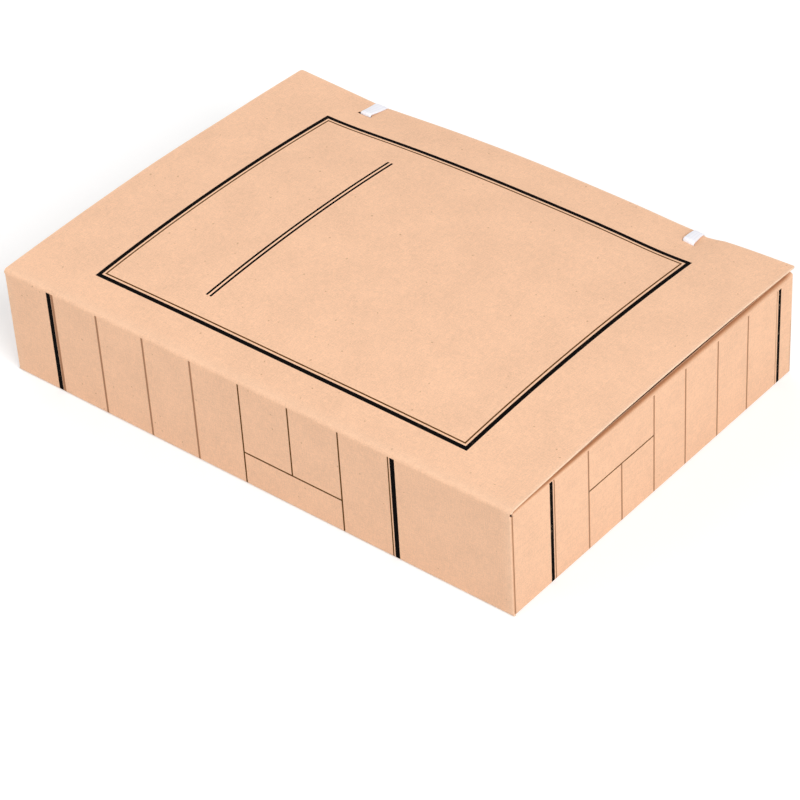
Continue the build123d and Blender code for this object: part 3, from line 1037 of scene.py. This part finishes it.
for name, ruling, place in (("spine", spineRuling, onSpine), ("tail", tailRuling, onTail)):
    for kind, ink in (("bars", ruling["ink"]), ("rules", hairInk), ("paleRules", paleInk)):
        inkFilm(name + kind[0].upper() + kind[1:], wallStrips(ruling, kind), place, ink, "tray")
print("ruling printed")


# Woven tape

tapeSet = {"thickness": 0.5 * mm, "ribDepth": 0.02 * mm, "across": 30, "fineness": 0.45 * mm,
           "edgePower": 14, "edgeShare": 0.35}


def tapeSection():
    # closed section of the tape as (across, thickness), ribbed along the tape and thinner at its edges
    half = []
    for k in range(tapeSet["across"] + 1):
        share = 2 * k / tapeSet["across"] - 1
        edge = math.sqrt(max(1 - abs(share) ** tapeSet["edgePower"], 0.0))
        rib = tapeSet["ribDepth"] * (1 - math.cos(math.pi * tapeRibs * (share + 1))) / 2
        thick = (tapeSet["thickness"] / 2 - rib) * max(edge, tapeSet["edgeShare"])
        half.append((share * tapeWidth / 2, thick))
    return half + [(a, -t) for a, t in reversed(half)]


def lieFlat(spot):
    return 1.0, 0.0, 0.0


def wovenTape(name, points, across, lie=lieFlat):
    # tape along a flat route, across is the way of its width; lie(spot) gives its width share, cup and tilt
    route, length = smoothPath(points, tapeSet["fineness"])
    section = tapeSection()
    bm = bmesh.new()
    uv = bm.loops.layers.uv.new("tapeRun")
    rings = []
    for k, spot in enumerate(route):
        way = (route[min(k + 1, len(route) - 1)] - route[max(k - 1, 0)]).normalized()
        share, cup, tilt = lie(spot)
        wide = (Vector(across) + Vector((0, 0, tilt))).normalized()
        out = way.cross(wide).normalized()
        ring = []
        for a, t in section:
            sunk = cup * (1 - (2 * a / tapeWidth) ** 2)
            ring.append(bm.verts.new(spot + wide * a * share + out * (t - sunk)))
        rings.append(ring)
    step = length / (len(route) - 1)
    layWeave(skin(bm, rings), uv, lambda i, j: (i * step, section[j % len(section)][0]))
    print(name, "is", round(length / mm, 1), "mm long")
    return pieceFrom(bm, name, [whiteTape])


strapLine = strapBoxes["tail"][1].y - tapeSet["thickness"] / 2
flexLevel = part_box("tail_strap_end")[1].z - tapeSet["thickness"] / 2
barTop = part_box("tail_pin")[1].z
hangSet = {
    "slitCup": 0.55 * mm, "edgeCup": 0.12 * mm, "edgeRun": 0.5 * mm, "bend": (0.8 * mm, -1.2 * mm),
    "gather": (-9 * mm, -1 * mm), "cupRise": (-0.6 * mm, 0.5 * mm),  # from the slit
    "loose": (2 * mm, 1 * mm),  # above the pin's bar and above the bend
    # route in mm over the cover: (along, above, share of the strap's arch) from the slit and from the edge
    "fromSlit": [(-25, -1.4, 0), (-14, -1.4, 0), (-2.2, -1.4, 0), (-0.5, -1.2, 0), (0, -0.5, 0),
                 (0.2, 0.3, 0), (1.1, 0.75, 0.5), (3.2, 0.55, 1), (7, 0.38, 0.8)],
    "fromEdge": [(-1.4, 0.34, 0.15), (-0.1, 0.22, 0)],
    # then hanging: (out, up) from the edge, from the bend and from the top of the pin's bar
    "belowEdge": [(0, -0.5), (0.04, -1.5)],
    "fromBend": [(0, 0), (0, -2.5)],
    "roundBar": [(-0.05, 2.2), (-0.55, 0.9), (-1.05, -0.1), (-1.05, -1.4), (-0.65, -2.09), (0, -2.15),
                 (0.65, -2.09), (1.05, -1.4), (1.05, -0.1), (0.72, 0.9), (0.56, 2.2), (0.55, 5.3)],
}
# between these levels a strap turns straight for its pin
looseSpan = [level + above for level, above in zip((barTop, flexLevel), hangSet["loose"])]


def strapRoute(side):
    # pasted inside the cover, up through the slit, over the edge, round the bar of the pin and back
    lie = strapSet[side]
    edge, slit = coverHigh.y, slitY[side]

    def over(y, above):
        x = strapX[side] + between(lie["slitShift"], lie["edgeShift"], ease(slit, edge, y))
        return x, y, coverTop(x, min(y, edge)) + above

    def hang(out, level):
        return strapX[side] + lie["edgeShift"] * ease(*looseSpan, level), strapLine + out, level

    edgeTop = over(edge, 0.0)[2]
    route = [over(start + along * mm, above * mm + share * lie["arch"])
             for start, points in ((slit, "fromSlit"), (edge, "fromEdge"))
             for along, above, share in hangSet[points]]
    route += [hang(out * mm, start + up * mm)
              for start, points in ((edgeTop, "belowEdge"), (flexLevel, "fromBend"), (barTop, "roundBar"))
              for out, up in hangSet[points]]
    return route


def strapLie(side):
    # the tape gathers where it comes up through the slit, and spreads again
    lie = strapSet[side]
    slit = slitY[side]
    reach = tapeWidth / 4

    def slope(x, y):
        return (coverTop(x + reach, y) - coverTop(x - reach, y)) / (2 * reach)

    def read(spot):
        if spot.y > coverHigh.y - hangSet["edgeRun"]:
            loose = ease(*looseSpan, spot.z)
            tilt = slope(spot.x, coverHigh.y) * ease(looseSpan[1], coverLevel, spot.z)
            return between(1, lie["edgeShare"], loose), hangSet["edgeCup"] * loose, tilt
        along = ease(slit, coverHigh.y, spot.y)
        gathered, up = (ease(*(slit + d for d in hangSet[k]), spot.y) for k in ("gather", "cupRise"))
        share = between(1, between(lie["slitShare"], lie["edgeShare"], along), gathered)
        return share, between(hangSet["slitCup"], hangSet["edgeCup"], along) * up, slope(spot.x, spot.y)

    return read


def loopRoute(side):
    # one end pasted inside the wall, out through a slit, over the pin and back in
    low, high = loopBoxes[side]
    inside = low.y + tapeSet["thickness"] / 2
    crest = high.y - tapeSet["thickness"] / 2
    arm = [(loopSet["span"] / 2 + along * mm, start + out * mm)
           for start, points in ((inside, "inside"), (foreHigh.y, "face"), (crest, "crest"))
           for along, out in loopSet[points]]
    flat = [(-a, y) for a, y in arm] + [(0.0, crest)] + [(a, y) for a, y in reversed(arm)]
    return [(strapX[side] + a, y, loopLevel) for a, y in flat]


stitchSet = {
    "radius": 0.16 * mm, "length": 0.95 * mm, "spacing": 1.55 * mm, "count": 5, "turns": 8, "steps": 8,
    "rises": (2.3 * mm, 4.5 * mm), "outs": {1: 0.8 * mm, -1: -0.25 * mm},
    "dip": 0.22 * mm, "taperShare": 0.35,
}


def makeStitches(name, side, body):
    # two rows of thread through the turned-back end of the strap, on both faces of it
    bm = bmesh.new()
    uv = bm.loops.layers.uv.new("tapeRun")
    radius, length, count, steps = (stitchSet[k] for k in ("radius", "length", "count", "steps"))
    angles = [2 * math.pi * t / stitchSet["turns"] for t in range(stitchSet["turns"])]
    circle = [Vector((0, math.cos(a), math.sin(a))) for a in angles]
    places = itertools.product(stitchSet["rises"], stitchSet["outs"].items(), range(count))
    for rise, (facing, out), n in places:
        x = strapX[side] + (n - (count - 1) / 2) * stitchSet["spacing"]
        rings = []
        for k in range(steps + 1):
            share = 2 * k / steps - 1
            dip = stitchSet["dip"] * abs(share) ** 3
            center = Vector((x + share * length / 2, strapLine + out - facing * dip, barTop + rise))
            size = radius * (1 - stitchSet["taperShare"] * share**4)
            rings.append([bm.verts.new(center + way * size) for way in circle])
        layWeave(skin(bm, rings), uv, lambda i, j: (i * length / steps, j * radius))
    return finishPiece(pieceFrom(bm, name, [whiteThread]), body, "tape")


for side in sideNames:
    strap = wovenTape(f"{side}Strap", strapRoute(side), (1, 0, 0), strapLie(side))
    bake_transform(strap)
    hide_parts(f"{side}_strap", f"{side}_strap_end")
    makeStitches(f"{side}Stitches", side, f"{side}_tie")
    finishPiece(wovenTape(f"{side}Loop", loopRoute(side), (0, 0, 1)), "tray", "tape", f"{side}_loop")
print("tapes made")

# CAD pieces that keep their own shape
for name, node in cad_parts.items():
    if not node.hide_render:
        node.data.materials.clear()
        node.data.materials.append(pinPlastic if name.endswith("pin") else kraftFace)


# Stage, light and camera

white = (1, 1, 1)
stageSet = {
    "half": 3.0, "drop": 0.2 * mm, "glow": 0.36, "fade": (0.7, 2.0), "worldLight": 0.32,
    "shader": {"Base Color": (0.72, 0.72, 0.72), "Roughness": 0.9, "Specular IOR Level": 0.0,
               "Emission Color": white},
}


def cameraSees(tree):
    # 1 where a ray comes from the camera, a reflection or a see-through surface
    path = addNode(tree, "LightPath").outputs
    rays = (path[f"Is {kind} Ray"] for kind in ("Camera", "Glossy", "Transmission"))
    return combine(tree, "MAXIMUM", *rays)


def paintFloor(tree, look):
    # far from the box the floor fades into the backdrop
    away = addNode(tree, "VectorMath", {0: objectPlace(tree)}, operation="LENGTH").outputs["Value"]
    level = spread(tree, away, *look["fade"], look["glow"], 1.0)
    return {"Emission Strength": combine(tree, "MULTIPLY", cameraSees(tree), level)}


def makeFloor():
    mesh = bpy.data.meshes.new("floor")
    half = stageSet["half"]
    corners = [(-half, -half, 0), (half, -half, 0), (half, half, 0), (-half, half, 0)]
    mesh.from_pydata(corners, [], [range(len(corners))])
    floor = addObject("floor", mesh, [newMaterial("paleFloor", paintFloor, stageSet)])
    floor.location.z = -stageSet["drop"]


def makeWorld():
    world = bpy.data.worlds.new("studio")
    world.use_nodes = True
    tree = world.node_tree
    back = tree.nodes["Background"].inputs
    feed(tree, back["Color"], white)
    feed(tree, back["Strength"], spread(tree, cameraSees(tree), 0, 1, stageSet["worldLight"], 1.0))
    bpy.context.scene.world = world


lampSet = {
    "key": {"at": (2.55, -0.98, 2.3), "size": 1.8, "power": 98},
    "top": {"at": (-0.9, 0.6, 0.9), "size": 1.2, "power": 5.5},
    "fill": {"at": (-0.6, -1.5, 0.7), "size": 1.2, "power": 7},
}
lampTarget = Vector((0, 0, 0.03))


def makeLamps():
    for name, lamp in lampSet.items():
        data = bpy.data.lights.new(name, "AREA")
        data.size = lamp["size"]
        data.energy = lamp["power"]
        light = bpy.data.objects.new(name, data)
        light.location = lamp["at"]
        light.rotation_euler = (lampTarget - Vector(lamp["at"])).to_track_quat("-Z", "Y").to_euler()
        bpy.context.scene.collection.objects.link(light)


cameraSet = {
    "azimuth": 41.600, "elevation": 38.043, "roll": -3.652, "distance": 1.43475,
    "target": (0.040088, -0.047402, 0.030), "focal": 3060.62, "image": 800, "sensor": 36.0,
}


def makeCamera():
    a, e, r = (math.radians(cameraSet[k]) for k in ("azimuth", "elevation", "roll"))
    back = Vector((math.sin(a) * math.cos(e), -math.cos(a) * math.cos(e), math.sin(e)))
    right = Vector((math.cos(a), math.sin(a), 0))
    up = back.cross(right)
    rightRolled = math.cos(r) * right + math.sin(r) * up
    upRolled = math.cos(r) * up - math.sin(r) * right
    data = bpy.data.cameras.new("photoCamera")
    data.sensor_fit = "HORIZONTAL"
    data.sensor_width = cameraSet["sensor"]
    data.lens = cameraSet["focal"] / cameraSet["image"] * cameraSet["sensor"]
    camera = bpy.data.objects.new("photoCamera", data)
    turn = Matrix((rightRolled, upRolled, back)).transposed().to_4x4()
    place = Vector(cameraSet["target"]) + back * cameraSet["distance"]
    camera.matrix_world = Matrix.Translation(place) @ turn
    bpy.context.scene.collection.objects.link(camera)
    bpy.context.scene.camera = camera


makeFloor()
makeWorld()
makeLamps()
makeCamera()
bpy.context.scene.view_settings.view_transform = "Standard"
print("stage set")
